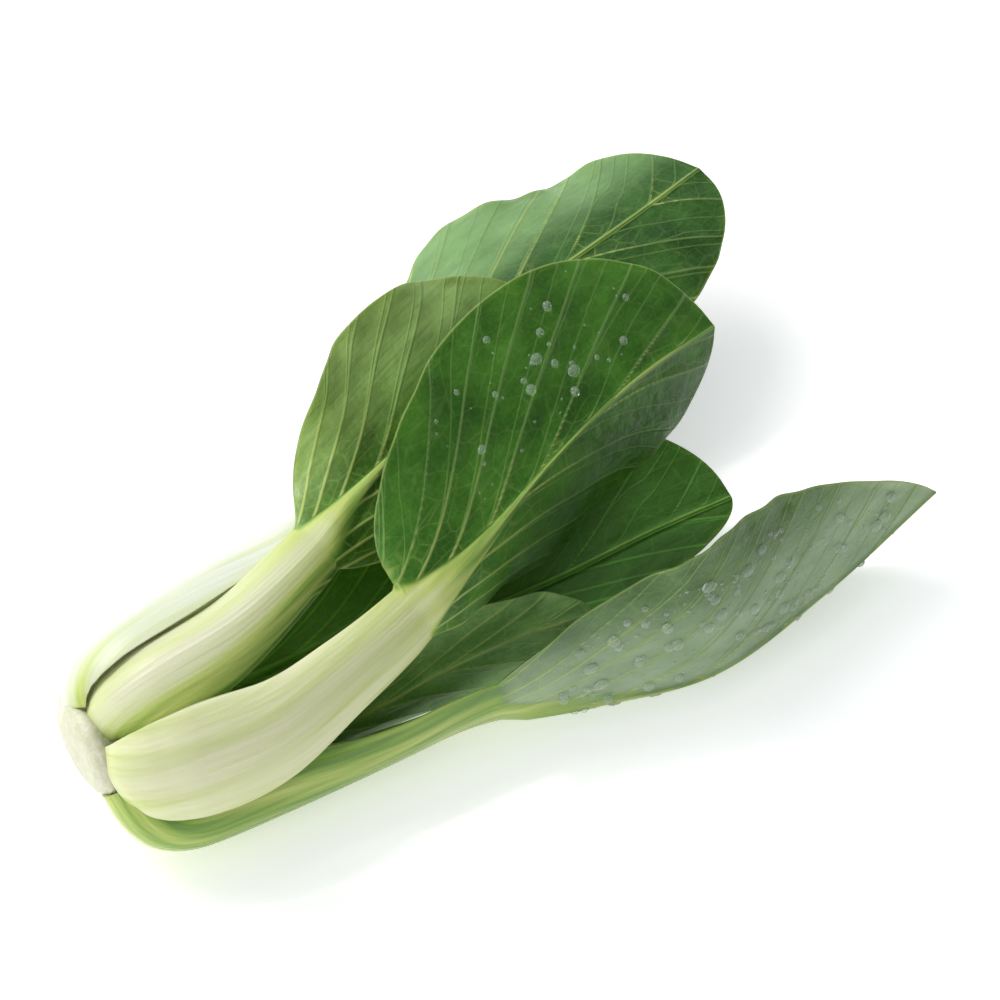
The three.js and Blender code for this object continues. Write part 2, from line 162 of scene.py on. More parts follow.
# Each leaf: its midline on the outer skin, which way that skin faces (0 up, 90 toward the near
# side, 180 down), where the stalk ends and the blade starts, as a share of the length, and each
# side of the midrib as seen from outside with the tip up. veins say where each leaves the
# midrib and meets the edge, lowest first. core_green is how green the stalk is along its
# middle, and green is the same along its flank.
LEAVES = [
    {
        "name": "leaf_front",
        "grid": FINE,
        "spine": [
            (-24, -12, 35), (-22.6, -15.6, 36.9), (-19.6, -19, 38.5), (-14.5, -22.3, 40), (-5, -26, 41.9),
            (14, -29.5, 44), (34, -28, 48), (52, -25, 51), (75, -20, 56),
            (105, -10, 61), (137, -1, 62), (168, 6, 57),
        ],
        "facing": [(0, 64), (0.3, 54), (0.45, 48), (0.7, 45), (1, 40)],
        "blade": 0.43,
        "thickness": fleshy(1.6, 6.5, 5, 2.4, 1, 0.43),
        "core_green": [(0, 0.3), (0.08, 0.12), (0.2, 0.14), (0.35, 0.22), (0.43, 0.3), (1, 0.5)],
        "left": {
            "stalk": 13.5, "shape": WIDE_FOOT, "width": 41, "belly": 0.98, "base": 0.36, "tip": 0.52,
            "cup": [(0, 34), (0.15, 36), (0.3, 45), (0.42, 35), (0.5, 0), (0.8, -5), (1, 0)],
            "curl": [(0, 0), (0.5, 0), (0.7, 15), (1, 10)],
            "waves": [(1.2, 5.3, 0.1)],
            "veins": fan(0.4, 0.8, 7),
            "green": [(0, 0.3), (0.1, 0.05), (0.3, 0.05), (0.43, 0.5)],
        },
        "right": {
            "stalk": 17, "shape": WIDE_FOOT, "width": 33, "belly": 1.15, "base": 0.5, "tip": 0.55,
            "fold": [(0, 0), (0.4, 0), (0.5, 15), (0.8, 25), (1, 20)],
            "cup": [(0, 26), (0.15, 38), (0.3, 50), (0.42, 50), (0.5, 45), (0.8, 35), (1, 20)],
            "waves": [(1.3, 4.3, 0.4)],
            "veins": fan(0.4, 0.75, 6),
            "green": [(0, 0.35), (0.1, 0.2), (0.3, 0.25), (0.43, 0.4)],
        },
    },
    {
        "name": "leaf_middle",
        "grid": FINE,
        "spine": [
            (-22.2, -1, 42), (-19.8, -2, 46.5), (-15, -3, 50.5), (-4, -4, 54.5), (18, -4.5, 57.5),
            (42, 1, 60), (62, 10, 59), (90, 22, 58), (116, 32, 57), (138, 42, 54),
        ],
        "facing": [(0, 8), (0.2, 10), (0.36, 14), (1, 15)],
        "blade": 0.42,
        "thickness": fleshy(1.6, 6.5, 5, 2.4, 1, 0.42),
        "core_green": [(0, 0.3), (0.1, 0.1), (0.25, 0.1), (0.42, 0.25), (1, 0.5)],
        "left": {
            "stalk": 12.5, "shape": WIDE_FOOT, "width": 30, "belly": 1.15, "base": 0.6, "tip": 0.5,
            "fold": [(0, 0), (0.42, 0), (0.6, -15), (1, -10)],
            "cup": [(0, 60), (0.25, 60), (0.42, 30), (0.6, -10), (1, 0)],
            "waves": [(1.5, 5.1, 0.2)],
            "veins": fan(0.39, 0.85, 7),
            "green": [(0, 0.3), (0.1, 0.2), (0.3, 0.15), (0.42, 0.4)],
        },
        "right": {
            "stalk": 15, "width": 25, "belly": 1, "base": 0.5, "tip": 0.6,
            "fold": [(0, 0), (0.5, 10), (1, 0)],
            "cup": [(0, 50), (0.3, 55), (0.42, 50), (0.6, 30), (1, 0)],
            "veins": fan(0.36, 0.9, 8),
            "green": [(0, 0.5), (0.1, 0.75), (0.3, 1), (0.42, 1)],
        },
    },
    {
        "name": "leaf_top",
        "grid": FINE,
        "spine": [
            (-24.3, 8.3, 40), (-22.9, 11.2, 43), (-20, 13.8, 45.6), (-14.5, 16, 47.9), (-4, 17.8, 49.8),
            (20, 18.8, 50.8), (46, 18.5, 51.3), (80, 29, 52), (116, 42, 51),
            (150, 51.5, 49), (182, 59, 46), (212, 68, 41),
        ],
        "facing": [(0, -45), (0.4, -35), (0.6, -5), (1, 5)],
        "blade": 0.42,
        "thickness": fleshy(1.6, 6.5, 5, 2.4, 1, 0.42),
        "core_green": [(0, 0.1), (0.1, 0), (0.3, 0), (0.42, 0.1), (1, 0.5)],
        "left": {
            "stalk": 14, "width": 36, "belly": 0.98, "base": 0.5, "tip": 0.42,
            "cup": [(0, 50), (0.3, 55), (0.42, 40), (0.6, 30), (1, 10)],
            "waves": [(1.8, 4.2, 0)],
            "scallops": [(3.4, 4.2, 0.24)],
            "veins": fan(0.38, 0.9, 9),
            "green": [(0, 0.1), (0.1, 0), (0.3, 0.05), (0.42, 0.3)],
        },
        "right": {
            "stalk": 15, "shape": WIDE_FOOT, "width": 33, "belly": 1.05, "base": 0.5, "tip": 0.42,
            "cup": [(0, 50), (0.3, 50), (0.42, 60), (0.6, 75), (0.8, 40), (1, 15)],
            "waves": [(1.4, 4.6, 0.3)],
            "veins": fan(0.38, 0.9, 9),
            "green": [(0, 0.4), (0.1, 0.3), (0.3, 0.3), (0.42, 0.4)],
        },
    },
    {
        "name": "leaf_floor",
        "grid": FINE,
        "spine": [
            (-25.1, -8.8, 23.8), (-24.5, -13.6, 19.3), (-22.6, -18, 15.2), (-19, -21.6, 11.8),
            (-13, -24.4, 9.3), (-4, -26, 7.7), (16, -27.3, 5.8),
            (46, -29.5, 5), (69, -33.5, 6.5), (94, -45.5, 8.5),
            (124, -56, 10), (159, -55, 15), (199, -51, 25),
        ],
        "facing": [
            (0, 130), (0.2, 128), (0.32, 132), (0.42, 120), (0.55, 90), (0.7, 80), (0.85, 75), (1, 70),
        ],
        "blade": 0.46,
        "thickness": fleshy(1.6, 6, 4.6, 2.4, 1, 0.46),
        "core_green": [(0, 0.5), (0.1, 0.6), (0.3, 0.68), (0.46, 0.7), (1, 0.7)],
        "left": {
            "stalk": 22.8, "shape": FULL_NECK, "width": 41, "belly": 1, "base": 0.52, "tip": 0.75,
            "cup": [
                (0, 70), (0.06, 92), (0.14, 96), (0.22, 88), (0.34, 65), (0.46, 40), (0.6, 10), (1, 5),
            ],
            "waves": [(1, 4.1, 0.3)],
            "veins": fan(0.42, 0.9, 9),
            "green": [(0, 0.7), (0.1, 0.73), (0.3, 0.74), (0.46, 0.76)],
        },
        "right": {
            "stalk": 16, "width": 26, "belly": 1.3, "base": 0.6, "tip": 0.75,
            "fold": [(0, 0), (0.4, 0), (0.55, 45), (1, 45)],
            "cup": [(0, 50), (0.3, 60), (0.44, 50), (0.6, 48), (1, 30)],
            "veins": fan(0.42, 0.9, 8),
            "green": [(0, 0.5), (0.1, 0.6), (0.3, 0.72), (0.46, 0.78)],
        },
    },
    {
        "name": "leaf_under",
        "grid": PLAIN,
        "spine": [
            (-24.6, 2.6, 20), (-23.1, 4.5, 13.5), (-20, 5.8, 8.2), (-14.5, 6.6, 4), (-6, 7, 1),
            (20, 5.5, -0.3),
            (50, 1, 3), (80, -5, 9), (108, -11, 14), (136, -13, 15), (160, -15.5, 15),
        ],
        "facing": [(0, 192), (0.4, 195), (0.7, 205), (1, 205)],
        "blade": 0.42,
        "thickness": fleshy(1.6, 6.5, 5, 2.4, 1, 0.42),
        "core_green": [(0, 0.2), (0.2, 0.1), (0.42, 0.3), (1, 0.5)],
        "left": {
            "stalk": 16, "width": 14, "belly": 1.45, "base": 0.6, "tip": 0.5,
            "cup": [(0, 50), (0.42, 40), (0.6, 35), (1, 10)],
            "veins": fan(0.38, 0.9, 8),
            "green": [(0, 0.3), (0.2, 0.2), (0.42, 0.4)],
        },
        "right": {
            "stalk": 16, "width": 36, "belly": 1.1, "base": 0.5, "tip": 0.45,
            "cup": [(0, 50), (0.42, 40), (0.6, 20), (1, 10)],
            "waves": [(1.2, 5, 0.1)],
            "veins": fan(0.38, 0.9, 8),
            "green": [(0, 0.3), (0.2, 0.2), (0.42, 0.4)],
        },
    },
    {
        "name": "leaf_back",
        "grid": PLAIN,
        "spine": [
            (-24, 12, 29.5), (-22.6, 16, 29), (-19.4, 19.6, 28.3), (-13.5, 22.8, 27.4), (-4, 25.5, 26),
            (18, 28, 24),
            (44, 32, 21), (72, 37.5, 20), (100, 46, 21), (130, 55, 22), (156, 63, 23),
        ],
        "facing": [(0, -104), (0.4, -102), (0.7, -104), (1, -98)],
        "blade": 0.42,
        "thickness": fleshy(1.6, 6.5, 5, 2.4, 1, 0.42),
        "core_green": [(0, 0.2), (0.2, 0.05), (0.42, 0.2), (1, 0.5)],
        "left": {
            "stalk": 15, "width": 25, "belly": 1, "base": 0.5, "tip": 0.6,
            "cup": [(0, 50), (0.42, 40), (0.6, 20), (1, 10)],
            "veins": fan(0.38, 0.9, 8),
            "green": [(0, 0.3), (0.2, 0.15), (0.42, 0.4)],
        },
        "right": {
            "stalk": 11.5, "width": 14, "belly": 1, "base": 0.5, "tip": 0.6,
            "cup": [(0, 50), (0.42, 40), (0.6, 20), (1, 10)],
            "veins": fan(0.38, 0.9, 7),
            "green": [(0, 0.3), (0.2, 0.15), (0.42, 0.4)],
        },
    },
    {
        "name": "leaf_inner",
        "grid": SMALL,
        "spine": [
            (-20.4, -9, 28), (-10, -13.5, 21), (8, -15, 18), (28, -17, 16.5), (46, -19, 15.5),
            (64, -20.5, 17.5), (83, -23.5, 19.5), (104, -29.5, 22),
        ],
        "facing": [(0, 104), (0.4, 100), (0.7, 86), (1, 80)],
        "blade": 0.42,
        "thickness": fleshy(1.4, 4.5, 3.5, 1.8, 0.9, 0.42),
        "core_green": [(0, 0.5), (0.2, 0.65), (0.42, 0.7), (1, 0.6)],
        "left": {
            "stalk": 11.5, "width": 16, "belly": 1, "base": 0.5, "tip": 0.5,
            "cup": [(0, 50), (0.3, 40), (0.42, 20), (0.6, 10), (1, 10)],
            "waves": [(0.9, 5, 0.1)],
            "veins": fan(0.34, 0.88, 7),
            "green": [(0, 0.6), (0.2, 0.75), (0.42, 0.9)],
        },
        "right": {
            "stalk": 17.8, "width": 26, "belly": 0.82, "base": 0.5, "tip": 0.6,
            "cup": [(0, 50), (0.3, 25), (0.42, 10), (0.6, 20), (1, 20)],
            "veins": fan(0.36, 0.88, 6),
            "green": [(0, 0.6), (0.2, 0.75), (0.42, 0.85)],
        },
    },
    {
        "name": "leaf_heart",
        "grid": SMALL,
        "spine": [
            (-19.8, 5.2, 25.2), (-10, 7, 21), (8, 6, 19), (28, 4, 19), (50, 2, 21), (72, 3, 25),
            (92, 5, 30),
        ],
        "facing": [(0, 210), (0.4, 205), (0.7, 205), (1, 200)],
        "blade": 0.25,
        "thickness": fleshy(1.4, 4.5, 3, 1.6, 0.9, 0.25),
        "core_green": [(0, 0.6), (0.25, 0.7), (1, 0.7)],
        "left": {
            "stalk": 10, "width": 17, "belly": 0.9, "base": 0.6, "tip": 0.6,
            "cup": [(0, 50), (0.42, 40), (0.6, 30), (1, 10)],
            "waves": [(0.8, 5, 0.1)],
            "veins": fan(0.2, 0.85, 8),
            "green": [(0, 0.7), (0.25, 0.9)],
        },
        "right": {
            "stalk": 10, "width": 20, "belly": 0.9, "base": 0.6, "tip": 0.6,
            "cup": [(0, 50), (0.42, 40), (0.6, 30), (1, 10)],
            "waves": [(0.8, 5, 0.5)],
            "veins": fan(0.2, 0.85, 8),
            "green": [(0, 0.7), (0.25, 0.9)],
        },
    },
    {
        "name": "leaf_bud",
        "grid": BUD,
        "spine": [(-12, 0, 33), (-5, 1, 34), (5, 1.5, 34.5), (16, 1, 35)],
        "facing": [(0, -10), (1, 0)],
        "blade": 0.4,
        "thickness": fleshy(1.4, 2.4, 2, 1.2, 0.9, 0.4),
        "core_green": [(0, 0.2), (1, 0.4)],
        "left": {
            "stalk": 3.5, "width": 5, "belly": 1, "base": 0.5, "tip": 0.6,
            "cup": [(0, 50), (1, 20)],
            "veins": fan(0.4, 0.8, 4),
            "green": [(0, 0.3), (1, 0.5)],
        },
        "right": {
            "stalk": 3.5, "width": 5, "belly": 1, "base": 0.5, "tip": 0.6,
            "cup": [(0, 50), (1, 20)],
            "veins": fan(0.4, 0.8, 4),
            "green": [(0, 0.3), (1, 0.5)],
        },
    },
]


# Curves and profiles

def profile(knots, at):
    """A smooth curve through (position, value) knots, read at an array of positions."""
    x, y = np.array(knots, float).T
    slope = np.empty_like(y)
    slope[0] = (y[1] - y[0]) / (x[1] - x[0])
    slope[-1] = (y[-1] - y[-2]) / (x[-1] - x[-2])
    slope[1:-1] = (y[2:] - y[:-2]) / (x[2:] - x[:-2])
    v = np.clip(at, x[0], x[-1])
    i = np.clip(np.searchsorted(x, v, side="right") - 1, 0, len(x) - 2)
    h = x[i + 1] - x[i]
    t = (v - x[i]) / h
    return (
        (1 + 2 * t) * (1 - t) ** 2 * y[i]
        + t * (1 - t) ** 2 * h * slope[i]
        + t * t * (3 - 2 * t) * y[i + 1]
        + t * t * (t - 1) * h * slope[i + 1]
    )


def smooth(value):
    """0 below 0, 1 above 1, and a soft step between."""
    t = np.clip(value, 0, 1)
    return t * t * (3 - 2 * t)


def unit(vectors):
    return vectors / np.linalg.norm(vectors, axis=-1, keepdims=True)


class Midline:
    """A smooth curve through the points, read by share of its length."""

    STEPS = 400

    def __init__(self, points):
        p = np.array(points, float)
        p = np.vstack([2 * p[0] - p[1], p, 2 * p[-1] - p[-2]])
        t = np.linspace(0, 1, self.STEPS, endpoint=False)[:, None]
        stretches = []
        for a, b, c, d in zip(p, p[1:], p[2:], p[3:]):
            bend = (2 * a - 5 * b + 4 * c - d) * t**2 + (3 * b - a - 3 * c + d) * t**3
            stretches.append(0.5 * (2 * b + (c - a) * t + bend))
        self.line = np.vstack(stretches + [p[-2][None]])
        steps = np.linalg.norm(np.diff(self.line, axis=0), axis=1)
        self.reached = np.concatenate([[0], np.cumsum(steps)])
        self.length = self.reached[-1]

    def at(self, v):
        place = np.clip(v, 0, 1) * self.length
        return np.stack([np.interp(place, self.reached, self.line[:, k]) for k in range(3)], -1)


# Leaf surfaces

def stalk_width(greatest, shape, leaf, v):
    return greatest * profile(shape, np.minimum(v / leaf["blade"], 1))


def blade_share(leaf, v):
    return np.clip((v - leaf["blade"]) / (1 - leaf["blade"]), 0, 1)


def half_width(leaf, side, v):
    """Distance from the midline to the edge on one side, measured over the skin."""
    along = blade_share(leaf, v)
    stalk = stalk_width(side["stalk"], side.get("shape", STALK_SHAPE), leaf, v) * (1 - along)
    power = side["base"] + (side["tip"] - side["base"]) * along
    blade = side["width"] * np.maximum(np.sin(np.pi * along ** side["belly"]), 0) ** power
    for depth, number, shift in side.get("scallops", []):
        share = np.minimum(blade / side["width"], 1)
        blade = blade + depth * np.sin(2 * np.pi * (number * v + shift)) * share
    return np.maximum(np.hypot(stalk, blade), LEAST_HALF_WIDTH)


def rib_width(leaf, v):
    """Half-width of the midrib: the whole stalk below the blade, a taper along the blade."""
    along = blade_share(leaf, v)
    widest = max(leaf["left"]["stalk"], leaf["right"]["stalk"])
    stalk = stalk_width(widest, STALK_SHAPE, leaf, v)
    tapered = np.maximum(stalk * (1 - along) ** RIB_TAPER * RIB_SPREAD, LEAST_RIB)
    return np.where(along > 0, tapered, stalk)


def strand_lines(leaf, side, v):
    """Distance of each vein from the midline at the rows v, innermost first. Below the blade
    the veins run on as the strands of the stalk."""
    count = len(side["veins"])
    lines = []
    for number, (leaves, meets) in enumerate(side["veins"]):
        share = OUTER_STRAND * (1 - (number + 0.5) / (count + 0.5))

        def strand(at, share=share):
            return share * np.minimum(rib_width(leaf, at), half_width(leaf, side, at))

        rise = np.maximum((v - leaves) / (meets - leaves), 0) ** VEIN_BOW
        end = np.array([meets])
        reach = half_width(leaf, side, end)[0] - strand(end)[0]
        lines.append(strand(v) + reach * rise)
    return np.minimum.accumulate(np.array(lines), axis=0)[::-1]


def strand_field(leaf, side, v, distance):
    """For each row, the number of the strand at a distance from the midline, counted from the
    midline with fractions between strands, and the spacing of the strands there."""
    lines = strand_lines(leaf, side, v)
    lines = np.vstack([np.zeros_like(v), lines, lines[-1] + BEYOND_LAST])
    lines = np.maximum.accumulate(lines + 1e-4 * np.arange(len(lines))[:, None], axis=0)
    number = np.empty_like(distance)
    spacing = np.empty_like(distance)
    for row, at in enumerate(distance):
        places = lines[:, row]
        number[row] = np.interp(at, places, np.arange(len(places)))
        interval = np.clip(np.searchsorted(places, at, side="right") - 1, 0, len(places) - 2)
        spacing[row] = places[interval + 1] - places[interval]
    return number, spacing


def grid_places(leaf):
    """Columns across, from -1 to 1, crowded to the midrib and the edges, and rows along."""
    columns, rows = leaf["grid"]
    evenly = np.linspace(-1, 1, columns + 1)
    e = np.abs(evenly)
    u = np.sign(evenly) * (0.5 * e**1.35 + 0.25 * (1 - np.cos(np.pi * e)))
    even = np.linspace(0, 1, rows + 1)
    v = even - END_CROWDING * np.sin(2 * np.pi * even) / (2 * np.pi)
    return u, v


def leaf_axes(leaf, curve, v):
    """Out of the outer skin and to the right, at each row."""
    along_line = unit(curve.at(v + 1e-3) - curve.at(v - 1e-3))
    face = np.radians(profile(leaf["facing"], v))
    lean = np.radians(profile(LEAN, v))
    outward = np.stack(
        [-np.sin(lean), -np.sin(face) * np.cos(lean), np.cos(face) * np.cos(lean)], -1
    )
    outward = unit(outward - along_line * (outward * along_line).sum(-1, keepdims=True))
    return outward, np.cross(along_line, outward)


def bent_across(side, v, across, width):
    """How far the skin has gone sideways and inward at each place, and how far it has turned."""
    fold, cup, curl = (
        np.radians(profile(side.get(bend, FLAT), v))[:, None] for bend in ("fold", "cup", "curl")
    )
    sideways = 0
    inward = 0
    for step in range(BEND_STEPS):
        r = across * (step + 0.5) / BEND_STEPS
        bend = fold + cup * r + curl * r**3
        sideways = sideways + np.cos(bend) * width * across / BEND_STEPS
        inward = inward + np.sin(bend) * width * across / BEND_STEPS
    return sideways, inward, fold + cup * across + curl * across**3


def greenness(leaf, side, v, from_rib):
    """From 0 for the palest stalk, over its green flanks, to 1 for the blade."""
    along = blade_share(leaf, v)
    flank = profile(side["green"], v)[:, None]
    core = profile(leaf["core_green"], v)[:, None]
    core = core + (RIB_GREEN - core) * smooth(along / RIB_GREENING)[:, None]
    stalk_green = core + (flank - core) * np.clip(from_rib, 0, 1) ** 1.2
    rib_edge = 0.4 * (1 - along)[:, None] ** 2
    on_blade = smooth((v - leaf["blade"] + 0.07) / 0.1)[:, None]
    return np.maximum(stalk_green, on_blade * smooth((from_rib - rib_edge) / 0.7))


def leaf_skins(leaf):
    """The outer and inner skin on the fine grid, and what the material reads at each vertex."""
    curve = Midline(leaf["spine"])
    u, v = grid_places(leaf)
    outward, right = leaf_axes(leaf, curve, v)
    rib = rib_width(leaf, v)[:, None]
    rib_height = profile(leaf["thickness"], v)[:, None]
    length = curve.length * v[:, None]
    on_blade = smooth((v - leaf["blade"]) / BLADE_FADE)[:, None]
    to_tip = np.clip((1 - v) / TIP_FADE, 0, 1)[:, None]
    rib_stands = np.clip(blade_share(leaf, v) / 0.05, 0, 1)[:, None]

    shape = (len(v), len(u))
    outer = np.empty(shape + (3,))
    inner = np.empty(shape + (3,))
    read = ("flat_x", "flat_y", "strand", "spacing", "green", "edge")
    fields = {name: np.empty(shape) for name in read}
    for name, sign, columns in (("left", -1, u < 0), ("right", 1, u >= 0)):
        side = leaf[name]
        across = np.abs(u[columns])[None, :]
        width = half_width(leaf, side, v)[:, None]
        sideways, inward, bend = bent_across(side, v, across, width)

        def turned(angle, sign=sign):
            return outward[:, None] * np.cos(angle)[..., None] + right[:, None] * (
                sign * np.sin(angle)[..., None]
            )

        distance = width * across
        from_rib = distance / rib
        from_edge = width * (1 - across)
        crest = np.clip(1 - from_rib**2, 0, 1)
        proud = RIB_PROUD * rib_height * crest**1.5 * rib_stands
        blade = EDGE_THICKNESS + (BLADE_THICKNESS - EDGE_THICKNESS) * smooth(from_edge / EDGE_TAPER)
        depth = blade + (rib_height - BLADE_THICKNESS) * crest**0.8

        wave = 0
        for height, count, shift in side.get("waves", []):
            wave = wave + height * np.sin(2 * np.pi * (count * v[:, None] + shift))
        wave = wave * across**2 * on_blade * to_tip
        ruffle = np.sin(length / 3.7 + 2 * np.sin(length / 11)) + 0.6 * np.sin(length / 1.9 + 1.3 * sign)
        ruffle = RUFFLE_HEIGHT * ruffle * smooth((across - 0.82) / 0.18) * on_blade * to_tip

        # Raised veins, a pucker between them and strands on the stalk
        strand, spacing = strand_field(leaf, side, v, distance)
        off_strand = np.abs(strand - np.round(strand)) * spacing
        vein = VEIN_HEIGHT * np.exp(-((off_strand / VEIN_HALF_WIDTH) ** 2)) * (1.1 - across)
        vein = vein * on_blade * smooth((distance - rib) / VEIN_FADE)
        between = np.sin(np.pi * strand) ** 2 * np.minimum(spacing / PUCKER_SPACING, 1)
        clear = smooth((from_rib - 0.6) / 0.5) * smooth(from_edge / 4)
        pucker = PUCKER_DEPTH * between * on_blade * clear
        ridges = STRAND_HEIGHT * np.cos(2 * np.pi * strand) * (1 - on_blade) * smooth(from_edge / 3)
        ridges = ridges * smooth(v / 0.12)[:, None]

        normal = turned(bend)
        inset = turned(bend * np.clip(from_rib / INNER_TURN, 0, 1))
        skin = curve.at(v)[:, None] + right[:, None] * (sign * sideways)[..., None]
        skin = skin - outward[:, None] * inward[..., None]
        skin = skin + normal * (wave - pucker + ruffle)[..., None]
        outer[:, columns] = skin + inset * (proud + vein + ridges)[..., None]
        inner[:, columns] = skin - inset * (depth - 0.4 * vein)[..., None]

        fields["flat_x"][:, columns] = sign * distance
        fields["flat_y"][:, columns] = length + 0 * across
        fields["strand"][:, columns] = strand
        fields["spacing"][:, columns] = spacing
        fields["green"][:, columns] = greenness(leaf, side, v, from_rib)
        fields["edge"][:, columns] = from_edge
    lift = np.maximum(0, -np.minimum(outer[..., 2], inner[..., 2]))
    outer[..., 2] += lift
    inner[..., 2] += lift
    return outer, inner, fields


# Meshes

def add_attribute(mesh, name, values):
    attribute = mesh.attributes.new(name, "FLOAT_VECTOR", "POINT")
    attribute.data.foreach_set("vector", np.ascontiguousarray(values, np.float32).ravel())


def make_piece(name, points, faces, material):
    """A smooth-shaded mesh object from millimetre points."""
    mesh = bpy.data.meshes.new(name)
    faces = np.asarray(faces)
    mesh.vertices.add(len(points))
    mesh.vertices.foreach_set("co", np.ascontiguousarray(points * METRES, np.float32).ravel())
    corners = faces.shape[1]
    mesh.loops.add(faces.size)
    mesh.loops.foreach_set("vertex_index", faces.astype(np.int32).ravel())
    mesh.polygons.add(len(faces))
    mesh.polygons.foreach_set("loop_start", np.arange(0, faces.size, corners, dtype=np.int32))
    mesh.polygons.foreach_set("use_smooth", np.ones(len(faces), bool))
    mesh.update(calc_edges=True)
    mesh.validate()
    mesh.materials.append(material)
    piece = bpy.data.objects.new(name, mesh)
    bpy.context.scene.collection.objects.link(piece)
    return piece


def grid_faces(rows, columns, start=0, flip=False):
    """Quads of a grid of vertices numbered row by row."""
    i, j = np.meshgrid(np.arange(rows - 1), np.arange(columns - 1), indexing="ij")
    a = (start + i * columns + j).ravel()
    quads = np.stack([a, a + 1, a + 1 + columns, a + columns], -1)
    return quads[:, ::-1] if flip else quads


def leaf_piece(leaf, material):
    outer, inner, fields = leaf_skins(leaf)
    rows, columns = outer.shape[:2]
    skin = rows * columns
    points = np.concatenate([outer.reshape(-1, 3), inner.reshape(-1, 3)]) - MIDDLE
    faces = [grid_faces(rows, columns), grid_faces(rows, columns, skin, flip=True)]
    bottom = np.arange(columns)
    top = (rows - 1) * columns + np.arange(columns)[::-1]
    right = np.arange(rows) * columns + columns - 1
    left = (np.arange(rows) * columns)[::-1]
    rim = np.concatenate([bottom[:-1], right[:-1], top[:-1], left[:-1]])
    following = np.roll(rim, -1)
    faces.append(np.stack([following, rim, skin + rim, skin + following], -1))
    piece = make_piece(leaf["name"] + "_skin", points, np.concatenate(faces), material)

    on = {name: np.tile(field.ravel(), 2) for name, field in fields.items()}
    face = np.concatenate([np.zeros(skin), np.ones(skin)])
    mesh = piece.data
    add_attribute(mesh, "flat", np.stack([on["flat_x"], on["flat_y"], 20 * face], -1))
    add_attribute(mesh, "strand", np.stack([on["strand"], on["spacing"], face], -1))
    add_attribute(mesh, "tone", np.stack([on["green"], face, on["edge"]], -1))
    return piece


# Materials

class Nodes:
    """Short words for building a material's nodes."""

    def __init__(self, name):
        self.material = bpy.data.materials.new(name)
        self.material.use_nodes = True
        self.tree = self.material.node_tree
        self.shader = self.tree.nodes["Principled BSDF"]

    def put(self, socket, value):
        if isinstance(value, bpy.types.NodeSocket):
            self.tree.links.new(value, socket)
        else:
            socket.default_value = value

    def set(self, **values):
        """Inputs of the shader, named with underscores for spaces."""
        for key, value in values.items():
            self.put(self.shader.inputs[key.replace("_", " ")], value)

    def node(self, kind, inputs=(), **settings):
        made = self.tree.nodes.new("ShaderNode" + kind)
        for key, value in settings.items():
            setattr(made, key, value)
        for key, value in dict(inputs).items():
            self.put(made.inputs[key], value)
        return made

    def math(self, operation, *values, clamp=False):
        made = self.node("Math", operation=operation, use_clamp=clamp)
        for socket, value in zip(made.inputs, values):
            self.put(socket, value)
        return made.outputs[0]

    def times(self, a, b):
        return self.math("MULTIPLY", a, b)

    def plus(self, a, b):
        return self.math("ADD", a, b)

    def larger(self, a, b):
        return self.math("MAXIMUM", a, b)

    def apart(self, a, b):
        return self.math("ABSOLUTE", self.math("SUBTRACT", a, b))

    def step(self, value, low, high, out_low=0.0, out_high=1.0):
        """A soft step of value from low to high."""
        made = self.node("MapRange", interpolation_type="SMOOTHSTEP")
        for key, given in enumerate((value, low, high, out_low, out_high)):
            self.put(made.inputs[key], given)
        return made.outputs[0]

    def mix(self, share, a, b):
        made = self.node("Mix", data_type="RGBA")
        for key, value in ((0, share), (6, a), (7, b)):
            if isinstance(value, tuple):
                value = (*value, 1)
            self.put(made.inputs[key], value)
        return made.outputs[2]

    def attribute(self, name):
        made = self.node("Attribute", attribute_name=name)
        parts = self.node("SeparateXYZ", {0: made.outputs["Vector"]})
        return made.outputs["Vector"], parts.outputs[0], parts.outputs[1], parts.outputs[2]

    def stretched(self, vector, scale):
        return self.node("VectorMath", {0: vector, 1: scale}, operation="MULTIPLY").outputs[0]

    def noise(self, vector, scale, detail=2.0, roughness=0.5):
        inputs = {"Vector": vector, "Scale": scale, "Detail": detail, "Roughness": roughness}
        return self.node("TexNoise", inputs).outputs["Fac"]

    def edges(self, vector, scale):
        """Distance to the edges of cells."""
        inputs = {"Vector": vector, "Scale": scale}
        return self.node("TexVoronoi", inputs, feature="DISTANCE_TO_EDGE").outputs["Distance"]

    def ramp(self, value, stops):
        made = self.node("ValToRGB", {0: value})
        points = made.color_ramp.elements
        while len(points) < len(stops):
            points.new(0.5)
        for point, (place, colour) in zip(points, stops):
            point.position = place
            point.color = (*colour, 1)
        return made.outputs[0]

    def bump(self, height, distance):
        inputs = {"Height": height, "Distance": distance, "Strength": 1.0}
        return self.node("Bump", inputs).outputs[0]


CREAM = (0.83, 0.82, 0.56)
PALE_GREEN = (0.55, 0.64, 0.18)
FRESH_GREEN = (0.22, 0.38, 0.06)
VEIN_GREEN = (0.30, 0.42, 0.14)

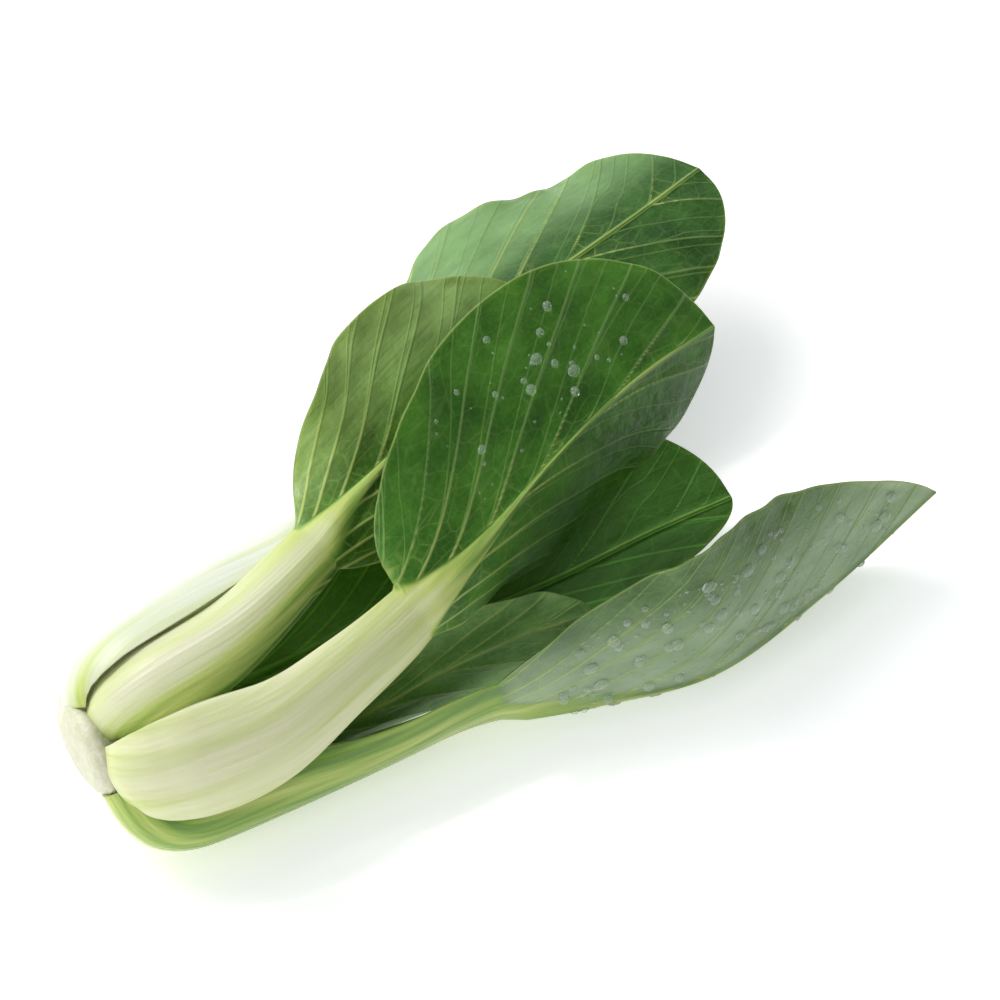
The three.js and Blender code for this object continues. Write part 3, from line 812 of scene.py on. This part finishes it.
# Each blade's colour in its dark and its light patches. Some have a stalk whiter than cream, a
# smoother skin, or a painted pale sheen, a highlight painted into the colour, which sets in
# between two distances from the midline.
LOOKS = {
    "leaf_front": {"deep": (0.028, 0.110, 0.010), "light": (0.085, 0.250, 0.028)},
    "leaf_middle": {
        "deep": (0.026, 0.090, 0.008), "light": (0.105, 0.260, 0.030), "stalk": (0.72, 0.71, 0.52),
        "painted_sheen": (-2, -18), "painted_sheen_colour": (0.40, 0.56, 0.19),
    },
    "leaf_top": {
        "deep": (0.012, 0.058, 0.007), "light": (0.050, 0.160, 0.022), "stalk": (0.76, 0.77, 0.71),
        "painted_sheen": (-4, -20), "painted_sheen_colour": (0.28, 0.46, 0.20),
    },
    "leaf_floor": {
        "deep": (0.060, 0.130, 0.036), "light": (0.130, 0.230, 0.080), "roughness": 0.24,
        "painted_sheen": (-34, -12), "painted_sheen_colour": (0.44, 0.56, 0.38),
    },
    "leaf_under": {"deep": (0.058, 0.185, 0.024), "light": (0.155, 0.390, 0.060)},
    "leaf_back": {"deep": (0.035, 0.100, 0.018), "light": (0.080, 0.180, 0.035)},
    "leaf_inner": {"deep": (0.125, 0.290, 0.080), "light": (0.310, 0.520, 0.180)},
    "leaf_heart": {"deep": (0.110, 0.320, 0.032), "light": (0.270, 0.580, 0.070)},
    "leaf_bud": {"deep": (0.300, 0.420, 0.090), "light": (0.450, 0.560, 0.160)},
}


class LeafNodes(Nodes):
    """A leaf's material, which reads the fields of the leaf's skins."""

    def __init__(self, name):
        super().__init__(name)
        self.flat, self.from_midline, _, _ = self.attribute("flat")
        _, self.strand, self.spacing, _ = self.attribute("strand")
        _, self.green, self.face, self.edge = self.attribute("tone")
        self.mottle = self.noise(self.flat, 0.9, 3, 0.6)

    def veins(self):
        """The raised veins with their forks, all veins with the fine net between them, and
        the place that wanders a little, as the net does."""
        strand, spacing = self.strand, self.spacing
        main = self.step(self.times(self.apart(strand, self.math("ROUND", strand)), spacing), 0.6, 0.1)
        number = self.math("FRACT", strand)
        fork = self.step(spacing, 4.5, 16.0, 0.0, 0.5)
        back_fork = self.step(spacing, 8.0, 24.0, 1.0, 0.62)
        forks = self.larger(
            self.step(self.times(self.apart(number, fork), spacing), 0.45, 0.05),
            self.step(self.times(self.apart(number, back_fork), spacing), 0.4, 0.05),
        )
        raised = self.larger(main, self.times(forks, 0.6))
        wander = self.noise(self.flat, 0.12, 3)
        drift = self.node("CombineXYZ", {0: wander, 1: wander}).outputs[0]
        bent = self.node("VectorMath", {0: self.flat, 1: drift}, operation="ADD").outputs[0]
        coarse = self.step(self.edges(self.stretched(bent, (1, 0.55, 1)), 0.2), 0.05, 0.0)
        fine = self.step(self.edges(self.stretched(bent, (1, 0.8, 1)), 0.6), 0.07, 0.0)
        net = self.larger(self.times(coarse, 0.3), self.times(fine, 0.14))
        return raised, self.larger(raised, net), bent

    def blade(self, deep, light, painted_sheen, painted_sheen_colour, veins, bent):
        """Patchy green, paler at the veins and along the thin rim, duller inside, and with a painted pale
        sheen, a painted highlight, across part of some blades.
        """
        patches = self.noise(self.flat, 0.055, 4, 0.6)
        shade = self.plus(self.times(patches, 0.75), self.times(self.mottle, 0.25))
        blade = self.mix(self.step(shade, 0.3, 0.7), deep, light)
        # Painted sheen: a pale highlight painted into the blade colour, in soft patches, between two
        # distances from the midline
        if painted_sheen:
            sheen_patches = self.noise(self.stretched(bent, (0.12, 0.045, 1)), 1.0, 4, 0.6)
            sheen_patches = self.step(sheen_patches, 0.2, 0.8, 0.55, 0.95)
            sheen_patches = self.times(self.step(self.from_midline, *painted_sheen), sheen_patches)
            blade = self.mix(self.times(sheen_patches, 0.85), blade, painted_sheen_colour)
        close = self.step(self.spacing, 11.0, 3.0)
        vein_colour = self.mix(close, self.mix(0.5, light, VEIN_GREEN), PALE_GREEN)
        blade = self.mix(self.times(veins, 0.7), blade, vein_colour)
        blade = self.mix(self.times(self.step(self.edge, 0.7, 0.1), 0.6), blade, VEIN_GREEN)
        inside = self.mix(self.times(veins, 0.5), tuple(c * 0.8 for c in deep), light)
        return self.mix(self.face, blade, inside)

    def stem(self, palest, light, streaks, fibres):
        """Cream to green in long streaks that follow the strands."""
        on_strand = self.step(self.apart(self.strand, self.math("ROUND", self.strand)), 0.3, 0.0)
        streaky = self.plus(
            self.times(self.math("SUBTRACT", streaks, 0.47), 1.3),
            self.times(self.math("SUBTRACT", fibres, 0.5), 0.1),
        )
        streaky = self.plus(streaky, self.times(on_strand, 0.03))
        tone = self.math("ADD", self.green, streaky, clamp=True)
        greenish = tuple(0.55 * a + 0.45 * b for a, b in zip(palest, PALE_GREEN))
        return self.ramp(
            tone, [(0.0, palest), (0.3, greenish), (0.55, PALE_GREEN), (0.85, FRESH_GREEN), (1.0, light)]
        )


def leaf_material(name, deep, light, stalk=CREAM, roughness=0.36, painted_sheen=None, painted_sheen_colour=None):
    n = LeafNodes(name)
    raised, veins, bent = n.veins()
    streaks = n.noise(n.stretched(n.flat, (0.2, 0.012, 1)), 1.0, 3, 0.55)
    fibres = n.noise(n.stretched(n.flat, (2.2, 0.03, 1)), 1.0, 2, 0.5)
    blade = n.blade(deep, light, painted_sheen, painted_sheen_colour, veins, bent)
    stem = n.stem(stalk, light, streaks, fibres)
    leafy = n.step(n.green, 0.7, 1.0)

    # Relief: veins and blisters on the blade, streaks on the stalk, a fine grain on both
    blisters = n.noise(n.flat, 0.2, 2, 0.5)
    height = n.times(n.plus(raised, n.times(blisters, 4.0)), leafy)
    height = n.plus(n.times(height, 0.6), n.times(n.mottle, 0.3))
    height = n.plus(height, n.times(fibres, 0.15))
    height = n.plus(height, n.times(streaks, 3.0))
    n.set(
        Base_Color=n.mix(leafy, stem, blade), Roughness=n.plus(n.times(n.mottle, 0.12), roughness - 0.06),
        Normal=n.bump(height, 0.0002), IOR=1.42, Specular_IOR_Level=0.34,
        Subsurface_Weight=0.25, Subsurface_Radius=(1.0, 1.0, 0.45), Subsurface_Scale=0.0025,
    )
    return n.material


def stem_material():
    n = Nodes("stem_flesh")
    place, _, _, _ = n.attribute("flat")
    cells = n.edges(n.stretched(place, (0.3, 1, 1)), 0.9)
    wet = n.noise(place, 0.35, 4, 0.6)
    colour = n.mix(n.step(wet, 0.35, 0.7), (0.60, 0.60, 0.42), (0.69, 0.68, 0.54))
    colour = n.mix(n.times(n.step(cells, 0.12, 0.0), 0.35), colour, (0.55, 0.52, 0.26))
    n.set(
        Base_Color=colour, Roughness=n.plus(n.times(wet, 0.25), 0.3), Normal=n.bump(cells, 0.0002),
        Subsurface_Weight=0.3, Subsurface_Radius=(1.0, 0.9, 0.5), Subsurface_Scale=0.003,
    )
    return n.material


def water_material():
    n = Nodes("water")
    n.set(Base_Color=(0.95, 1.0, 0.95, 1), Roughness=0.01, IOR=1.38, Transmission_Weight=0.86)
    return n.material


# The stem: a cut face, a low collar under the leaf bases, and the core that holds them

def stem_rings():
    """Radius and x of the stem's rings, from the middle of the cut face to the core's tip."""
    outline = [
        (0, CUT_X), (CUT_RADIUS, CUT_X), (CUT_RADIUS + 0.8, CUT_X + 0.15),
        (COLLAR_RADIUS, CUT_X + 1), (FULL_RADIUS, CUT_X + 2.6), (FULL_RADIUS, CUT_X + 4),
        (9.5, CUT_X + 7.5), (5, CORE_TIP_X - 1.5), (0, CORE_TIP_X),
    ]
    rings = []
    for (radius_a, x_a), (radius_b, x_b) in zip(outline, outline[1:]):
        steps = max(2, round(math.hypot(radius_b - radius_a, x_b - x_a) / STEM_RING))
        for share in np.linspace(0, 1, steps, endpoint=False):
            rings.append((radius_a + (radius_b - radius_a) * share, x_a + (x_b - x_a) * share))
    rings = np.array(rings[1:])
    return rings[:, :1], rings[:, 1:]


def stem_piece(material):
    radius, x = stem_rings()
    angle = np.linspace(0, 2 * np.pi, STEM_AROUND, endpoint=False)
    relief = 0.12 * (1 + np.sin(5 * angle + radius) * np.sin(1.7 * radius + 2 * angle))
    on_face = smooth((CUT_X + 0.5 - x) / 0.5)
    uneven = radius * (1 + 0.012 * np.sin(3 * angle + 1) + 0.01 * np.sin(8 * angle))
    skin = np.stack(
        [x + relief * on_face, uneven * np.cos(angle), AXIS_HEIGHT + uneven * np.sin(angle)], -1
    )
    middles = [[CUT_X + 0.12, 0, AXIS_HEIGHT], [CORE_TIP_X, 0, AXIS_HEIGHT]]
    points = np.concatenate([skin.reshape(-1, 3), middles])

    count = len(radius) * STEM_AROUND
    ring = np.arange(count).reshape(-1, STEM_AROUND)
    ring = np.concatenate([ring, ring[:, :1]], axis=1)
    corners = [ring[:-1, :-1], ring[1:, :-1], ring[1:, 1:], ring[:-1, 1:]]
    quads = np.stack(corners, -1).reshape(-1, 4)
    face = np.stack([np.full(STEM_AROUND, count), ring[0, :-1], ring[0, 1:]], -1)
    end = np.stack([np.full(STEM_AROUND, count + 1), ring[-1, 1:], ring[-1, :-1]], -1)
    triangles = np.concatenate([quads[:, [0, 1, 2]], quads[:, [0, 2, 3]], face, end])
    piece = make_piece("stem_flesh", points - MIDDLE, triangles, material)
    add_attribute(piece.data, "flat", points)
    return piece


# Water drops on the wet leaves

def drop_piece(name, leaf, places, material):
    """Low round drops on a leaf's outer skin, at (across, along, radius, stretch) places."""
    outer, _, _ = leaf_skins(leaf)
    u, v = grid_places(leaf)
    angle = np.linspace(0, 2 * np.pi, DROP_AROUND, endpoint=False)
    rise = np.linspace(0, np.pi / 2, DROP_RINGS, endpoint=False)
    points, faces = [], []
    start = 0
    for across, along, radius, stretch in places:
        i = int(np.clip(np.searchsorted(v, along), 1, len(v) - 2))
        j = int(np.clip(np.searchsorted(u, across), 1, len(u) - 2))
        centre = outer[i, j]
        up_leaf = unit(outer[i + 1, j] - outer[i - 1, j])
        over_leaf = unit(outer[i, j + 1] - outer[i, j - 1])
        normal = unit(np.cross(over_leaf, up_leaf))
        over_leaf = np.cross(up_leaf, normal)
        for height, width in zip(np.sin(rise), np.cos(rise)):
            ring = centre + radius * width * (
                np.cos(angle)[:, None] * over_leaf + stretch * np.sin(angle)[:, None] * up_leaf
            )
            points.append(ring + normal * (height * radius * DROP_HEIGHT - DROP_SINK))
        points.append((centre + normal * (radius * DROP_HEIGHT - DROP_SINK))[None])
        points.append((centre - normal * DROP_ROOT)[None])

        top = start + DROP_RINGS * DROP_AROUND
        ring = np.arange(start, top).reshape(DROP_RINGS, DROP_AROUND)
        ring = np.concatenate([ring, ring[:, :1]], axis=1)
        for a, b in zip(ring, ring[1:]):
            faces.append(np.stack([a[:-1], a[1:], b[1:]], -1))
            faces.append(np.stack([a[:-1], b[1:], b[:-1]], -1))
        faces.append(np.stack([ring[-1, :-1], ring[-1, 1:], np.full(DROP_AROUND, top)], -1))
        faces.append(np.stack([ring[0, 1:], ring[0, :-1], np.full(DROP_AROUND, top + 1)], -1))
        start = top + 2
    return make_piece(name, np.concatenate(points) - MIDDLE, np.concatenate(faces), material)


def scattered(seed, count, across, along, radius):
    """Seeded drops over a stretch of a leaf, most of them small."""
    draw = np.random.default_rng(seed)
    places = []
    for _ in range(count):
        size = radius[0] + (radius[1] - radius[0]) * draw.random() ** 3.2
        places.append((draw.uniform(*across), draw.uniform(*along), size, draw.uniform(0.85, 1.25)))
    return places


# Build the head

pieces = []
leaves = {leaf["name"]: leaf for leaf in LEAVES}
for name, leaf in leaves.items():
    piece = leaf_piece(leaf, leaf_material(name + "_skin", **LOOKS[name]))
    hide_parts(name)
    pieces.append(piece)

stem = stem_piece(stem_material())
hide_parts("stem_base")
pieces.append(stem)

water = water_material()
for name, drops in DROPS.items():
    piece = drop_piece(name + "_drops", leaves[name], scattered(**drops), water)
    piece.visible_shadow = False
    pieces.append(piece)

for piece in pieces:
    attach(piece, "root")


# Floor, light and camera

def aimed(place, aim):
    """Stands at a place and looks at the aim."""
    place, aim = Vector(place), Vector(aim)
    return Matrix.Translation(place) @ (aim - place).to_track_quat("-Z", "Y").to_matrix().to_4x4()


def add_object(name, data, matrix):
    made = bpy.data.objects.new(name, data)
    bpy.context.scene.collection.objects.link(made)
    made.matrix_world = matrix
    return made


def make_floor():
    n = Nodes("pale_surface")
    grain = n.noise(n.node("TexCoord").outputs["Object"], 40.0, 3)
    n.set(
        Base_Color=n.mix(grain, (0.88, 0.88, 0.88), (0.92, 0.92, 0.92)), Roughness=0.6,
        Specular_IOR_Level=0.2, Emission_Color=(1, 1, 1, 1), Emission_Strength=FLOOR_GLOW,
    )
    square = np.array([(-1, -1, 0), (1, -1, 0), (1, 1, 0), (-1, 1, 0)], float)
    floor = make_piece("floor", FLOOR_HALF * square, [(0, 1, 2, 3)], n.material)


def make_sun():
    data = bpy.data.lights.new("sun", "SUN")
    data.angle = math.radians(SUN_SPREAD)
    data.energy = SUN_STRENGTH
    data.color = SUN_COLOUR
    turn = Vector(SUN_DIRECTION).to_track_quat("Z", "Y")
    add_object("sun", data, turn.to_matrix().to_4x4())


def area_light(name, place, aim, size, power):
    data = bpy.data.lights.new(name, "AREA")
    data.shape = "DISK"
    data.size = size
    data.energy = power
    add_object(name, data, aimed(place, aim))


def make_camera():
    data = bpy.data.cameras.new("camera")
    data.lens = LENS
    data.sensor_width = SENSOR
    data.clip_start = 0.01
    bpy.context.scene.camera = add_object("camera", data, aimed(EYE, TARGET))


def make_world():
    """A room that is lighter toward its window."""
    world = bpy.data.worlds.new("studio")
    world.use_nodes = True
    tree = world.node_tree
    background = tree.nodes["Background"]
    place = tree.nodes.new("ShaderNodeTexCoord")
    toward = tree.nodes.new("ShaderNodeVectorMath")
    toward.operation = "DOT_PRODUCT"
    toward.inputs[1].default_value = Vector(WINDOW).normalized()
    tree.links.new(place.outputs["Generated"], toward.inputs[0])
    ramp = tree.nodes.new("ShaderNodeMapRange")
    ramp.interpolation_type = "SMOOTHSTEP"
    for key, value in enumerate((*ROOM_FADE, ROOM_DARK, ROOM_LIGHT), start=1):
        ramp.inputs[key].default_value = value
    tree.links.new(toward.outputs["Value"], ramp.inputs[0])
    tree.links.new(ramp.outputs[0], background.inputs["Strength"])
    background.inputs["Color"].default_value = ROOM_COLOUR
    bpy.context.scene.world = world


make_floor()
make_world()
make_sun()
for name, light in AREA_LIGHTS.items():
    area_light(name, **light)
make_camera()
bpy.context.scene.view_settings.view_transform = "Standard"
